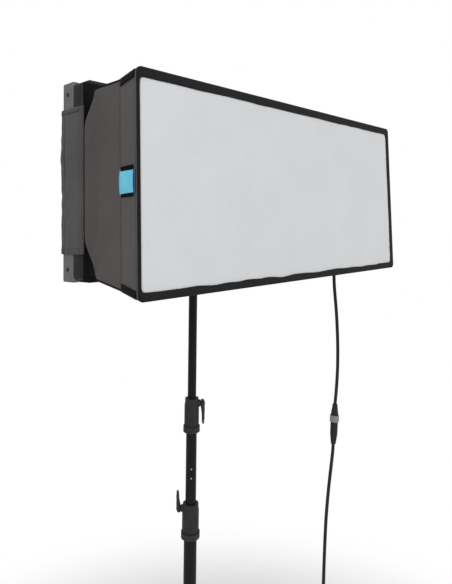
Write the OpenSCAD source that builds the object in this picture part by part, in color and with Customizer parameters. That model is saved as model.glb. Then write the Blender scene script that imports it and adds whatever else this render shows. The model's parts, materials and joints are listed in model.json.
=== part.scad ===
// Studio softbox: an LED panel behind a tapered fabric softbox, on a tilting head
// and a three-section light stand with folding tripod legs and a mains lead.
// The front faces -Y, +Z is up and the feet stand at z = 0.

/* [Softbox] */
// Outer width of the softbox at its front rim
box_w = 820; // [640:10:1000]
// Outer height of the softbox at its front rim
box_h = 355; // [300:5:440]
// Depth from the front rim back to the lamp's front face
box_d = 170; // [130:5:240]
// Depth of the stiff band that holds the rim frame
rim_d = 60; // [44:1:80]
// Thickness of the fabric wall with its lining
cloth_t = 3; // [2:0.5:4]
// How far the front rim hangs below the lamp's centre line
front_droop = 17; // [0:1:30]
// How much narrower the softbox is on each side at the back of its rim band
rim_inset = 10; // [4:1:16]
// How far the rear opening sits inside the lamp's ends
bag_inset = 9; // [4:1:14]
// How far the rear opening sits inside the lamp's top and bottom
bag_inset_z = 17; // [8:1:24]
// Diameter of the rim frame's rods
rim_rod_d = 8; // [6:0.5:10]

/* [Lamp] */
// Width of the LED panel over its end caps
lamp_w = 800; // [620:10:960]
// Height of the LED panel
lamp_h = 354; // [320:2:420]
// Thickness of the LED panel
lamp_t = 60; // [50:1:80]
// Width of each moulded end cap
end_cap_t = 16; // [12:1:24]
// Wall of the panel's aluminium tray
tray_t = 2.5; // [2:0.5:4]
// Depth of the cooling fins on the tray
fin_d = 7.5; // [5:0.5:10]
// Thickness of the opal plate
opal_t = 3; // [2:0.5:4]
// Width of the frame that holds the opal plate
bezel_w = 12; // [8:1:18]

/* [Tilt head] */
// Distance from the lamp's back to the stand's axis
lamp_gap = 74; // [70:1:110]
// Upward tilt of the lamp at rest, in degrees
head_tilt = 2.2; // [0:0.1:6]
// Diameter of the tilt bolt
tilt_bolt_d = 10; // [8:1:12]
// Thickness of the receiver's tongue
tongue_t = 20; // [16:1:26]
// Thickness of each cheek of the tilt bracket
cheek_t = 6; // [5:0.5:9]
// Diameter of the stand's spigot
spigot_d = 16; // [15:0.5:17]

/* [Stand] */
// Height of the tilt axis above the floor
pivot_z = 1505; // [1480:5:1560]
// Outer diameter of the riser tube
riser_d = 20; // [18:0.5:24]
// Step in outer diameter from each tube to the wider one below it
tube_step = 5; // [4:0.5:7]
// Wall of the stand's tubes
tube_wall = 1.2; // [1:0.1:1.6]
// Height of the upper clamp collar's lower edge
upper_collar_z = 941; // [900:2:960]
// Height of the lower clamp collar's lower edge
lower_collar_z = 698; // [660:1:710]
// Height of a clamp collar
collar_h = 77; // [66:1:84]
// Distance from the stand's axis to the middle of each foot
leg_spread = 480; // [420:10:560]
// Angle of the spread legs from upright, in degrees
leg_angle = 42; // [36:1:48]
// Outer diameter of the leg tubes
leg_d = 20; // [16:1:24]
// Distance from a leg's hub pin to its brace rivet, and from there to the collar
brace_len = 200; // [180:5:230]

/* [Mains lead] */
// Diameter of the flexible lead
lead_d = 9; // [8:0.5:9]

/* [Hidden] */

$fn = 48;
eps = 0.01;
gap = 0.3;          // between pieces that move past each other
run = 0.08;         // radial clearance of a pin in its bore

// stand
mid_d = riser_d + tube_step;
base_d = mid_d + tube_step;
foot_r = 22;        // radius of a foot's pad
foot_pad_h = 8;
foot_h = 14;        // height at which a leg's centre line ends
foot_cap = 6;       // rubber below the end of a leg's tube
hub_r = 40;         // radius of the leg pins and of the brace pins
core_wall = 6;      // wall of the hub and of the spreader collar
core_r = base_d / 2 + core_wall;
pin_r = 3;
ear_t = 5;
bar_t = 2;
bar_w = 14;
leg_len = (leg_spread - hub_r) / sin(leg_angle);
hub_z = foot_h + leg_len * cos(leg_angle);
spreader_z = hub_z - 2 * brace_len * cos(leg_angle);
stand_y = leg_spread / 4;                 // centres the footprint on the origin
leg_azimuth = [-90, 30, 150];
knob_azimuth = 90;
base_bottom = 60;
seat_h = collar_h - 23;   // how far a tube reaches into its collar
base_top = lower_collar_z + seat_h;
mid_top = upper_collar_z + seat_h;
mid_low = lower_collar_z - 373;
riser_low = upper_collar_z - 181;
collar_top_ring = 12;
collar_low_ring = 14;
collar_step = 6;
screw_h = collar_h - 12;  // height of a collar's clamp screw
screw_r = 3;
upper_azimuth = -47;
lower_azimuth = 133;

// head, measured from the tilt axis
socket_drop = 100;  // from the tilt axis down to the receiver's mouth
stud_len = 50;
flange_h = 4;
flange_r = 12;
receiver_r = spigot_d / 2 + 9;
riser_top = pivot_z - socket_drop - flange_h;
plate_w = 120;
plate_h = 90;
plate_t = 11.5;
knuckle_r = 19;
lamp_back = -lamp_gap;
lamp_front = -lamp_gap - lamp_t;
wall_back = lamp_back - fin_d;            // rear face of the tray's wall
tray_w = lamp_w - 2 * end_cap_t;
bezel_t = 6;
board_y = lamp_front + 34;
panel_x = 250;      // middle of the control panel
panel_w = 130;
panel_h = 84;
panel_d = 13;
knob_x = panel_x + 36;
switch_x = panel_x - 42;
outlet_w = 26;
outlet_h = 36;
outlet_y = lamp_front + 8;
outlet_x = lamp_w / 2 + outlet_w / 2;
outlet_low = -lamp_h / 2 + 5;
gland_nut_h = 12;
relief_len = 36;

// softbox, measured from the tilt axis
front_y = lamp_front - box_d;
rim_y = front_y + rim_d;
rear_y = lamp_front - gap;
rear_w = lamp_w - 2 * bag_inset;
rear_h = lamp_h - 2 * bag_inset_z;
rear_droop = 5;
rim_droop = front_droop - 2;
rods_set = 10;      // from the front edge back to the rods' centre line
rods_y = front_y + rods_set;
rod_inset = cloth_t + 1 + rim_rod_d / 2 + inset_at(rods_set + rim_rod_d / 2 + 3);
corner_len = 34;
hinge_len = 40;
tab_w = 43;
tab_h = 36;
tab_t = 2.5;
tab_back = 16;      // from the front rim to a pull tab
tab_raise = 5;
flap_t = 2.5;
flap_h = lamp_h - 98;
flap_wrap = 60;

// lead: points from the stand's axis, on the lines the lead hangs and lies in
coil_at = [240, -130];
coil_inner = 43;
coil_outer = 61;
coil_h = 36;
coupler_at = [418, -132, 880];
coupler_len = 106;
coupler_lean = 5;
coupler_r = 11;
tail_route = [
  [413, -134, 1296], [413, -134.5, 1280], [414, -135, 1255], [416, -136.5, 1225],
  [419, -138, 1190], [422, -139, 1145], [424, -139.5, 1100], [425, -139, 1050],
  [425, -137.5, 1010], [424, -135, 970], [422.5, -132, 933]
];
lead_route = [
  [413, -132, 827], [411, -131.5, 805], [407, -130, 775], [403, -127, 735], [399, -124, 690],
  [396, -121, 640], [394, -119, 590], [392, -117, 520], [390, -115, 430], [388, -113, 340],
  [386, -112, 250], [384, -111, 170], [381, -111, 110], [375, -112, 65], [363, -115, 32],
  [346, -121, 12], [324, -130, 4.5], [304, -145, 4.5], [288, -163, 4.5], [268, -179, 4.5],
  [240, -186.5, 4.5]
];
end_route = [
  [296.5, -130, 13.5], [296, -145, 13.5], [294.5, -162, 14.2], [291, -182, 11], [284, -204, 7]
];
plug_at = [284, -204, 7];
plug_turn = -105;
plug_len = 52;

// ---- shared shapes -------------------------------------------------------

module on_stand() {
  translate([0, stand_y, 0]) children();
}

module on_head() {
  translate([0, stand_y, pivot_z]) rotate([-head_tilt, 0, 0]) children();
}

// a box from its lowest corner to its highest corner
module span(a, b) {
  translate(a) cube(b - a);
}

module tube(d, wall, z0, z1) {
  translate([0, 0, z0])
    difference() {
      cylinder(d = d, h = z1 - z0);
      translate([0, 0, -1]) cylinder(d = d - 2 * wall, h = z1 - z0 + 2);
    }
}

// a cylinder along Y from y0 to y1
module rod_y(x, y0, y1, z, r) {
  translate([x, y0, z]) rotate([-90, 0, 0]) cylinder(r = r, h = y1 - y0);
}

// a cylinder along X from x0 to x1
module rod_x(x0, x1, y, z, r) {
  translate([x0, y, z]) rotate([0, 90, 0]) cylinder(r = r, h = x1 - x0);
}

module round_rect(w, h, r) {
  square([w - 2 * r, h], center = true);
  square([w, h - 2 * r], center = true);
  for (x = [-1, 1])
    for (y = [-1, 1])
      translate([x * (w / 2 - r), y * (h / 2 - r)]) circle(r = r);
}

// a plate in the XZ plane with round corners, from y0 to y1
module upright_plate(x, z, w, h, r, y0, y1) {
  translate([x, y1, z]) rotate([90, 0, 0]) linear_extrude(y1 - y0) round_rect(w, h, r);
}

// how far the rim band has narrowed at a distance d behind the front edge
function inset_at(d) = rim_inset * d / rim_d;
function unit(v) = v / norm(v);
function across(v, w) = unit(cross(v, w));
function heading(p, i) =
  unit(p[min(i + 1, len(p) - 1)] - p[max(i - 1, 0)]);

// a round tube swept along the points p
module swept(p, d, sides) {
  rings = [
    for (i = [0 : len(p) - 1])
      let (t = heading(p, i), u = across(t, [0.31, 0.95, 0.05]), v = cross(t, u))
        for (k = [0 : sides - 1])
          p[i] + d / 2 * (cos(360 * k / sides) * u + sin(360 * k / sides) * v)
  ];
  last = (len(p) - 1) * sides;
  faces = concat(
    [[for (k = [sides - 1 : -1 : 0]) k]],
    [
      for (i = [0 : len(p) - 2])
        for (k = [0 : sides - 1])
          let (a = i * sides + k, b = i * sides + (k + 1) % sides)
            [a, b, b + sides, a + sides]
    ],
    [[for (k = [0 : sides - 1]) last + k]]
  );
  polyhedron(points = rings, faces = faces, convexity = 6);
}

// ---- stand ---------------------------------------------------------------

module base_tube() {
  color([0.07, 0.07, 0.07]) on_stand() tube(base_d, tube_wall, base_bottom, base_top);
}

module leg_hub() {
  ear_in = leg_d / 2 + gap;
  color([0.15, 0.15, 0.15]) on_stand() translate([0, 0, hub_z])
    difference() {
      union() {
        cylinder(r = core_r, h = 44, center = true);
        for (a = leg_azimuth)
          rotate(a)
            for (s = [-1, 1])
              translate([0, s * (ear_in + ear_t / 2), 0]) {
                translate([hub_r / 2 + 4, 0, 0]) cube([hub_r - 8, ear_t, 24], center = true);
                translate([hub_r, 0, 0]) rotate([90, 0, 0]) cylinder(r = 12, h = ear_t, center = true);
              }
      }
      cylinder(d = base_d, h = 60, center = true);
      for (a = leg_azimuth)
        rotate(a) translate([hub_r, 0, 0]) rotate([90, 0, 0])
          cylinder(r = pin_r, h = 60, center = true);
    }
}

module leg_hub_pins() {
  pin_len = leg_d + 2 * gap + 2 * ear_t;
  color([0.6, 0.6, 0.6]) on_stand() translate([0, 0, hub_z])
    for (a = leg_azimuth)
      rotate(a) translate([hub_r, 0, 0]) rotate([90, 0, 0])
        cylinder(r = pin_r, h = pin_len, center = true);
}

// places its children on leg i, with X along the leg from the hub pin to the foot
module on_leg(i) {
  on_stand() translate([0, 0, hub_z]) rotate(leg_azimuth[i])
    translate([hub_r, 0, 0]) rotate([0, 90 - leg_angle, 0]) children();
}

module leg(i) {
  knuckle = leg_d / 2;
  color([0.07, 0.07, 0.07]) on_leg(i)
    difference() {
      union() {
        rod_x(0, leg_len - foot_cap, 0, 0, knuckle);
        rotate([90, 0, 0]) cylinder(r = knuckle, h = leg_d, center = true);
      }
      rod_x(knuckle + 6, leg_len + 1, 0, 0, knuckle - tube_wall);
      for (x = [0, brace_len])
        translate([x, 0, 0]) rotate([90, 0, 0])
          cylinder(r = pin_r + run, h = leg_d + 2, center = true);
    }
}

module foot(i) {
  color([0.1, 0.1, 0.1])
    difference() {
      union() {
        on_stand() rotate(leg_azimuth[i]) translate([leg_spread, 0, 0])
          cylinder(r = foot_r, h = foot_pad_h);
        on_leg(i) rod_x(leg_len - 44, leg_len, 0, 0, leg_d / 2 + 3);
      }
      on_leg(i) rod_x(leg_len - 60, leg_len - foot_cap, 0, 0, leg_d / 2);
      on_stand() translate([0, 0, -50])
        cylinder(r = leg_spread * 2, h = 50);
    }
}

module brace(i) {
  side = leg_d / 2 + gap;
  color([0.2, 0.2, 0.2]) on_leg(i) translate([brace_len, 0, 0])
    rotate([0, 2 * leg_angle, 0]) {
      for (s = [-1, 1])
        translate([0, s * (side + bar_t / 2), 0]) {
          translate([brace_len / 2, 0, 0]) cube([brace_len, bar_t, bar_w], center = true);
          for (x = [0, brace_len])
            translate([x, 0, 0]) rotate([90, 0, 0])
              cylinder(r = bar_w / 2, h = bar_t, center = true);
        }
      for (x = [0, brace_len])
        translate([x, 0, 0]) rotate([90, 0, 0])
          cylinder(r = pin_r, h = 2 * (side + bar_t), center = true);
    }
}

module spreader_collar() {
  color([0.15, 0.15, 0.15]) on_stand() translate([0, 0, spreader_z])
    difference() {
      union() {
        cylinder(r = core_r, h = 36, center = true);
        for (a = leg_azimuth)
          rotate(a) {
            translate([hub_r / 2 + 5, 0, 0]) cube([hub_r - 10, leg_d, 16], center = true);
            translate([hub_r, 0, 0]) rotate([90, 0, 0]) cylinder(r = 8, h = leg_d, center = true);
          }
        rotate(knob_azimuth) rod_x(0, core_r + 7, 0, 0, 9);
      }
      cylinder(d = base_d + 2 * gap, h = 60, center = true);
      for (a = leg_azimuth)
        rotate(a) translate([hub_r, 0, 0]) rotate([90, 0, 0])
          cylinder(r = pin_r + run, h = 60, center = true);
      rotate(knob_azimuth) rod_x(0, core_r + 10, 0, 0, screw_r + run);
    }
}

// a fluted knob on a stud along X: the stud from x0, the knob from x1
module fluted_knob(x0, x1, r, h) {
  rod_x(x0, x1 + 2, 0, 0, screw_r);
  difference() {
    rod_x(x1, x1 + h, 0, 0, r);
    for (k = [0 : 6])
      rotate([k * 360 / 7, 0, 0]) rod_x(x1 - 1, x1 + h + 1, 0, r + 3, 5);
  }
}

module spreader_knob() {
  color([0.12, 0.12, 0.12]) on_stand() translate([0, 0, spreader_z])
    rotate(knob_azimuth) fluted_knob(base_d / 2 + 0.5, core_r + 7 + gap, 17, 16);
}

// a clamp collar seated on a tube of diameter outer and guiding a tube of diameter inner
module clamp_collar(outer, inner, azimuth) {
  body_r = outer / 2 + collar_step / 2;
  difference() {
    union() {
      cylinder(d = outer + collar_low_ring, h = 13);
      translate([0, 0, 13]) cylinder(r = body_r + 1, h = collar_h - 24);
      translate([0, 0, collar_h - 11]) cylinder(d = inner + collar_top_ring, h = 11);
      for (k = [0 : 11])
        rotate(k * 30) translate([body_r + 1, 0, 13]) cylinder(r = 1.2, h = collar_h - 28);
      translate([0, 0, screw_h]) rotate(azimuth) rod_x(0, body_r + 5, 0, 0, 8);
    }
    translate([0, 0, -1]) cylinder(d = outer, h = seat_h + 1);
    cylinder(d = inner + 2 * run, h = collar_h + 1);
    translate([0, 0, screw_h]) rotate(azimuth) rod_x(0, body_r + 6, 0, 0, screw_r + run);
  }
}

// the screw and the lever of a clamp collar; the arm hangs at turn degrees from down
module clamp_lever(outer, inner, azimuth, turn) {
  start = outer / 2 + collar_step / 2 + 5 + gap;
  translate([0, 0, screw_h]) rotate(azimuth) {
    rod_x(inner / 2 + 0.5, start + 1, 0, 0, screw_r);
    rod_x(start, start + 9, 0, 0, 8);
    rotate([turn, 0, 0]) {
      translate([start + 2, -5, -40]) cube([6, 10, 40]);
      rod_x(start + 2, start + 8, 0, -40, 7);
      rod_x(start, start + 10, 0, -44, 5);
    }
  }
}

module lower_collar() {
  color([0.2, 0.2, 0.2]) on_stand() translate([0, 0, lower_collar_z])
    clamp_collar(base_d, mid_d, lower_azimuth);
}

module lower_lever() {
  color([0.17, 0.17, 0.17]) on_stand() translate([0, 0, lower_collar_z])
    clamp_lever(base_d, mid_d, lower_azimuth, 160);
}

module mid_tube() {
  color([0.05, 0.05, 0.05]) on_stand() tube(mid_d, tube_wall, mid_low, mid_top);
}

module upper_collar() {
  color([0.2, 0.2, 0.2]) on_stand() translate([0, 0, upper_collar_z])
    clamp_collar(mid_d, riser_d, upper_azimuth);
}

module upper_lever() {
  color([0.17, 0.17, 0.17]) on_stand() translate([0, 0, upper_collar_z])
    clamp_lever(mid_d, riser_d, upper_azimuth, 8);
}

module riser_tube() {
  color([0.04, 0.04, 0.04]) on_stand() tube(riser_d, tube_wall, riser_low, riser_top);
}

module riser_spigot() {
  color([0.75, 0.75, 0.72]) on_stand() translate([0, 0, riser_top]) {
    translate([0, 0, -40]) cylinder(d = riser_d - 2 * tube_wall, h = 40);
    cylinder(r = flange_r, h = flange_h);
    difference() {
      translate([0, 0, flange_h]) cylinder(d = spigot_d, h = stud_len);
      translate([0, 0, flange_h + 22])
        difference() {
          cylinder(d = spigot_d + 4, h = 10);
          cylinder(d = spigot_d - 3, h = 30, center = true);
        }
    }
  }
}

// ---- tilt head -----------------------------------------------------------

module receiver() {
  color([0.13, 0.13, 0.13]) on_stand() translate([0, 0, pivot_z])
    difference() {
      union() {
        translate([0, 0, gap - socket_drop]) cylinder(r = receiver_r, h = 64);
        translate([0, 0, -36 - 11]) cube([tongue_t, 2 * knuckle_r - 4, 34], center = true);
        span([-tongue_t / 2, 2 - knuckle_r, -40], [tongue_t / 2, knuckle_r - 2, 0]);
        rod_x(-tongue_t / 2, tongue_t / 2, 0, 0, knuckle_r - 2);
        rod_y(0, 0, receiver_r + 5, -78, 9);
      }
      translate([0, 0, -socket_drop - 1]) cylinder(d = spigot_d + 2 * run, h = stud_len + 3);
      rod_x(-tongue_t, tongue_t, 0, 0, tilt_bolt_d / 2 + run);
      rod_y(0, 0, receiver_r + 6, -78, screw_r + run);
    }
}

module receiver_knob() {
  color([0.12, 0.12, 0.12]) on_stand() translate([0, 0, pivot_z - 78])
    rotate(90) fluted_knob(spigot_d / 2 + 0.5, receiver_r + 5 + gap, 15, 15);
}

module tilt_bracket() {
  side = tongue_t / 2 + gap;
  plate_y = wall_back + plate_t;
  color([0.12, 0.12, 0.12]) on_head()
    difference() {
      union() {
        for (s = [-1, 1])
          translate([s * (side + cheek_t / 2), 0, 0]) {
            translate([0, plate_y / 2, 0]) cube([cheek_t, -plate_y, 2 * knuckle_r], center = true);
            rotate([0, 90, 0]) cylinder(r = knuckle_r, h = cheek_t, center = true);
          }
        span([-side - cheek_t - 12, plate_y, -30], [side + cheek_t + 12, plate_y + 8, 30]);
      }
      rod_x(-50, 50, 0, 0, tilt_bolt_d / 2);
    }
}

module tilt_bolt() {
  outer = tongue_t / 2 + gap + cheek_t;
  color([0.6, 0.6, 0.62]) on_head() {
    rod_x(-outer - 7, outer + 20, 0, 0, tilt_bolt_d / 2);
    translate([-outer - 7, 0, 0]) rotate([0, 90, 0]) cylinder(r = tilt_bolt_d * 0.9, h = 7, $fn = 6);
  }
}

module tilt_lever() {
  start = tongue_t / 2 + gap + cheek_t + gap;
  color([0.12, 0.12, 0.12]) on_head()
    difference() {
      union() {
        rod_x(start, start + 22, 0, 0, 12);
        rotate([28, 0, 0]) {
          span([start + 9, -6, -58], [start + 19, 6, 0]);
          rod_x(start + 9, start + 19, 0, -58, 6);
        }
      }
      rod_x(start - 1, start + 30, 0, 0, tilt_bolt_d / 2 + run);
    }
}

module mounting_plate() {
  color([0.16, 0.16, 0.16]) on_head()
    upright_plate(0, 0, plate_w, plate_h, 8, wall_back, wall_back + plate_t);
}

module plate_screws() {
  face = wall_back + plate_t;
  color([0.55, 0.55, 0.55]) on_head()
    for (x = [-1, 1])
      for (z = [-1, 1])
        rod_y(x * (plate_w / 2 - 14), face, face + 4, z * (plate_h / 2 - 12), 5);
}

// ---- lamp ----------------------------------------------------------------

module lamp_tray() {
  fin_pitch = 14;
  fin_span = lamp_h / 2 - 22;
  fin_w = 2 * (lamp_w / 2 - end_cap_t - flap_wrap - 6);
  fins = floor(fin_span / fin_pitch);
  inner = tray_w / 2;
  color([0.22, 0.22, 0.22]) on_head() {
    span([-inner, wall_back - tray_t, -lamp_h / 2], [inner, wall_back, lamp_h / 2]);
    for (s = [-1, 1])
      translate([0, (lamp_front + bezel_t + wall_back) / 2, s * (lamp_h / 2 - tray_t / 2)])
        cube([tray_w, wall_back - lamp_front - bezel_t, tray_t], center = true);
    difference() {
      for (k = [-fins : fins])
        translate([0, wall_back + fin_d / 2, k * fin_pitch])
          cube([fin_w, fin_d, 2.2], center = true);
      translate([0, wall_back + fin_d / 2, 0])
        cube([plate_w + 8, fin_d + 2, plate_h + 8], center = true);
      translate([panel_x, wall_back + fin_d / 2, 0])
        cube([panel_w + 8, fin_d + 2, panel_h + 8], center = true);
    }
  }
}

module front_bezel() {
  color([0.1, 0.1, 0.1]) on_head()
    difference() {
      span([-tray_w / 2, lamp_front, -lamp_h / 2], [tray_w / 2, lamp_front + bezel_t, lamp_h / 2]);
      span([-tray_w / 2 + bezel_w, lamp_front - 1, -lamp_h / 2 + bezel_w],
        [tray_w / 2 - bezel_w, lamp_front + bezel_t + 1, lamp_h / 2 - bezel_w]);
    }
}

module opal_plate() {
  y = lamp_front + bezel_t;
  color([0.95, 0.95, 0.93]) on_head()
    span([-tray_w / 2 + 2, y, -lamp_h / 2 + tray_t + 1],
      [tray_w / 2 - 2, y + opal_t, lamp_h / 2 - tray_t - 1]);
}

module led_board() {
  color([0.9, 0.9, 0.88]) on_head()
    span([-tray_w / 2 + 6, board_y, -lamp_h / 2 + 12], [tray_w / 2 - 6, board_y + 1.6, lamp_h / 2 - 12]);
}

module led_strips() {
  rows = 8;
  color([0.98, 0.9, 0.5]) on_head()
    for (k = [0 : rows - 1])
      translate([0, board_y - 0.6, (k - (rows - 1) / 2) * (lamp_h - 60) / (rows - 1)])
        cube([tray_w - 60, 1.2, 6], center = true);
}

module driver_box() {
  color([0.6, 0.6, 0.62]) on_head()
    span([-300, board_y + 1.6 + 0.2, -45], [-80, wall_back - tray_t, 45]);
}

module end_cap(side) {
  x = side * (lamp_w / 2 - end_cap_t / 2);
  color([0.25, 0.25, 0.25]) on_head()
    translate([x, (lamp_front + lamp_back) / 2, 0]) rotate([0, 90, 0])
      linear_extrude(end_cap_t, center = true) round_rect(lamp_h, lamp_t, 12);
}

module control_panel() {
  color([0.08, 0.08, 0.08]) on_head()
    difference() {
      upright_plate(panel_x, 0, panel_w, panel_h, 8, wall_back, wall_back + panel_d);
      rod_y(knob_x, wall_back + 3, wall_back + panel_d + 1, 0, 3 + run);
      span([switch_x - 8, wall_back + 3, -13], [switch_x + 8, wall_back + panel_d + 1, 13]);
    }
}

module dimmer_knob() {
  face = wall_back + panel_d;
  color([0.1, 0.1, 0.1]) on_head() {
    rod_y(knob_x, wall_back + 4, face + 2, 0, 3);
    difference() {
      rod_y(knob_x, face + gap, face + 15, 0, 13);
      rod_y(knob_x + 8, face + 14, face + 16, 0, 1.5);
    }
  }
}

module power_switch() {
  face = wall_back + panel_d;
  color([0.05, 0.05, 0.05]) on_head()
    intersection() {
      span([switch_x - 7.6, wall_back + 7.2, -12.2], [switch_x + 7.6, face + 3, 12.2]);
      rod_x(switch_x - 10, switch_x + 10, face - 9, 0, 12.2);
    }
}

module outlet_box() {
  color([0.12, 0.12, 0.12]) on_head()
    span([lamp_w / 2, outlet_y - outlet_w / 2, outlet_low],
      [lamp_w / 2 + outlet_w, outlet_y + outlet_w / 2, outlet_low + outlet_h]);
}

module cable_gland() {
  color([0.08, 0.08, 0.08]) on_head() translate([outlet_x, outlet_y, outlet_low]) {
    translate([0, 0, -gland_nut_h]) cylinder(r = 11, h = gland_nut_h, $fn = 6);
    translate([0, 0, -gland_nut_h - relief_len])
      cylinder(r1 = lead_d / 2 + 1.6, r2 = lead_d / 2 + 4, h = relief_len);
  }
}

// ---- softbox -------------------------------------------------------------

// a thin slab of a wall at depth y, from corner a to corner b in the XZ plane
module strip(y, a, b) {
  span([a[0], y - eps, a[1]], [b[0], y, b[1]]);
}

// one wall of the bag: flat from the rear opening to the rim band, then flaring to the front edge
module wall_top(s) {
  t = s * cloth_t;
  rear = s * rear_h / 2 - rear_droop;
  rim = s * (box_h / 2 - rim_inset) - rim_droop;
  front = s * box_h / 2 - front_droop;
  rim_w = box_w / 2 - rim_inset;
  hull() {
    strip(rear_y, [-rear_w / 2, min(rear, rear - t)], [rear_w / 2, max(rear, rear - t)]);
    strip(rim_y + eps, [-rim_w, min(rim, rim - t)], [rim_w, max(rim, rim - t)]);
  }
  hull() {
    strip(rim_y + eps, [-rim_w, min(rim, rim - t)], [rim_w, max(rim, rim - t)]);
    strip(front_y + eps, [-box_w / 2, min(front, front - t)], [box_w / 2, max(front, front - t)]);
  }
}

module wall_side(s) {
  t = s * cloth_t;
  rear = s * rear_w / 2;
  rim = s * (box_w / 2 - rim_inset);
  front = s * box_w / 2;
  rear_z = rear_h / 2 - cloth_t;
  rim_z = box_h / 2 - rim_inset - cloth_t;
  front_z = box_h / 2 - cloth_t;
  hull() {
    strip(rear_y, [min(rear, rear - t), -rear_z - rear_droop], [max(rear, rear - t), rear_z - rear_droop]);
    strip(rim_y + eps, [min(rim, rim - t), -rim_z - rim_droop], [max(rim, rim - t), rim_z - rim_droop]);
  }
  hull() {
    strip(rim_y + eps, [min(rim, rim - t), -rim_z - rim_droop], [max(rim, rim - t), rim_z - rim_droop]);
    strip(front_y + eps, [min(front, front - t), -front_z - front_droop],
      [max(front, front - t), front_z - front_droop]);
  }
}

module panel_top() { color([0.3, 0.28, 0.27]) on_head() wall_top(1); }
module panel_bottom() { color([0.3, 0.28, 0.27]) on_head() wall_top(-1); }
module panel_left() { color([0.33, 0.31, 0.3]) on_head() wall_side(-1); }
module panel_right() { color([0.33, 0.31, 0.3]) on_head() wall_side(1); }

module front_cloth() {
  depth = 2.5;
  edge = cloth_t + gap + inset_at(depth);
  color([0.92, 0.92, 0.93]) on_head() translate([0, 0, -front_droop])
    span([-box_w / 2 + edge, front_y + 0.5, -box_h / 2 + edge],
      [box_w / 2 - edge, front_y + depth, box_h / 2 - edge]);
}

module rim_rods() {
  half = box_w / 2 - rod_inset - corner_len + 10;
  color([0.7, 0.7, 0.72]) on_head() translate([0, 0, -front_droop])
    for (s = [-1, 1])
      rod_x(-half, half, rods_y, s * (box_h / 2 - rod_inset), rim_rod_d / 2);
}

module rim_corners() {
  r = rim_rod_d / 2;
  color([0.06, 0.06, 0.06]) on_head() translate([0, 0, -front_droop])
    for (x = [-1, 1])
      for (z = [-1, 1]) {
        cx = box_w / 2 - rod_inset;
        cz = box_h / 2 - rod_inset;
        difference() {
          union() {
            translate([x * (cx - corner_len / 2 + r), rods_y + 1, z * cz])
              cube([corner_len, 2 * r + 4, 2 * r], center = true);
            translate([x * cx, rods_y + 1, z * (cz - corner_len / 2 + r)])
              cube([2 * r, 2 * r + 4, corner_len], center = true);
          }
          rod_x(-(cx - corner_len + 10), cx - corner_len + 10, rods_y, z * cz, r);
          translate([x * cx, rods_y, z * (cz - corner_len + 10)])
            rotate([z > 0 ? 180 : 0, 0, 0]) cylinder(r = r, h = corner_len);
        }
      }
}

module side_struts() {
  r = rim_rod_d / 2;
  end = box_h / 2 - rod_inset - corner_len + 10;
  color([0.7, 0.7, 0.72]) on_head() translate([0, 0, -front_droop])
    for (x = [-1, 1])
      for (z = [-1, 1])
        translate([x * (box_w / 2 - rod_inset), rods_y, z > 0 ? hinge_len / 2 : -end])
          cylinder(r = r, h = end - hinge_len / 2);
}

module strut_hinges() {
  r = rim_rod_d / 2;
  color([0.05, 0.05, 0.05]) on_head() translate([0, 0, -front_droop])
    for (x = [-1, 1])
      translate([x * (box_w / 2 - rod_inset), rods_y + 1, 0])
        difference() {
          cube([2 * r, 2 * r + 4, hinge_len], center = true);
          for (z = [-1, 1]) translate([0, 0, z * 8]) rod_x(-r - 1, r + 1, 0, 0, 1.6);
        }
}

module pull_tabs() {
  color([0.35, 0.7, 0.95]) on_head() translate([0, 0, tab_raise - front_droop])
    for (s = [-1, 1])
      hull()
        for (d = [tab_back, tab_back + tab_w])
          translate([s * (box_w / 2 - inset_at(d) + tab_t / 2 + eps), front_y + d, 0])
            cube([tab_t, eps, tab_h], center = true);
}

module end_flaps() {
  color([0.28, 0.27, 0.27]) on_head()
    for (side = [0, 1])
      mirror([side, 0, 0]) flap();
}

// one flap: over the end cap, and round onto the back of the lamp
module flap() {
  x = -lamp_w / 2;
  half = flap_h / 2;
  span([x - flap_t, rear_y - 6, -half], [x, lamp_back, half]);
  span([x - flap_t, lamp_back, -half], [x + end_cap_t + flap_wrap, lamp_back + flap_t, half]);
}

// ---- mains lead ----------------------------------------------------------

module cable_tail() {
  color([0.1, 0.1, 0.1]) on_stand() swept(tail_route, lead_d, 8);
}

module on_coupler() {
  on_stand() translate(coupler_at) rotate([0, coupler_lean, 0]) children();
}

module coupler_body() {
  half = coupler_len / 2 - 0.6;
  color([0.08, 0.08, 0.08]) on_coupler()
    difference() {
      union() {
        translate([0, 0, -half]) cylinder(r1 = lead_d / 2 + 2, r2 = coupler_r - 1, h = 26);
        translate([0, 0, -half + 26]) cylinder(r = coupler_r - 1, h = 2 * half - 52);
        translate([0, 0, half - 26]) cylinder(r1 = coupler_r - 1, r2 = lead_d / 2 + 2, h = 26);
      }
      translate([0, 0, 6]) cylinder(r = coupler_r + 5, h = 17);
    }
  color([0.08, 0.08, 0.08]) on_coupler() translate([0, 0, 5]) cylinder(r = coupler_r - 3, h = 19);
}

module coupler_ring() {
  color([0.55, 0.55, 0.55]) on_coupler() translate([0, 0, 6])
    difference() {
      cylinder(r = coupler_r + 1.5, h = 17);
      translate([0, 0, -1]) cylinder(r = coupler_r - 3, h = 19);
    }
}

module cable_lead() {
  color([0.1, 0.1, 0.1]) on_stand() {
    swept(lead_route, lead_d, 8);
    swept(end_route, lead_d, 8);
  }
}

module cable_coil() {
  color([0.1, 0.1, 0.1]) on_stand() translate([coil_at[0], coil_at[1], 0])
    rotate_extrude() translate([coil_inner, 0]) square([coil_outer - coil_inner, coil_h]);
}

module on_plug() {
  on_stand() translate(plug_at) rotate(plug_turn) children();
}

module mains_plug() {
  color([0.07, 0.07, 0.07]) on_plug() {
    rod_x(0, 30, 0, 0, 6.5);
    translate([30, 0, 7]) rotate([0, 90, 0]) linear_extrude(plug_len - 30) round_rect(28, 30, 6);
  }
}

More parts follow.
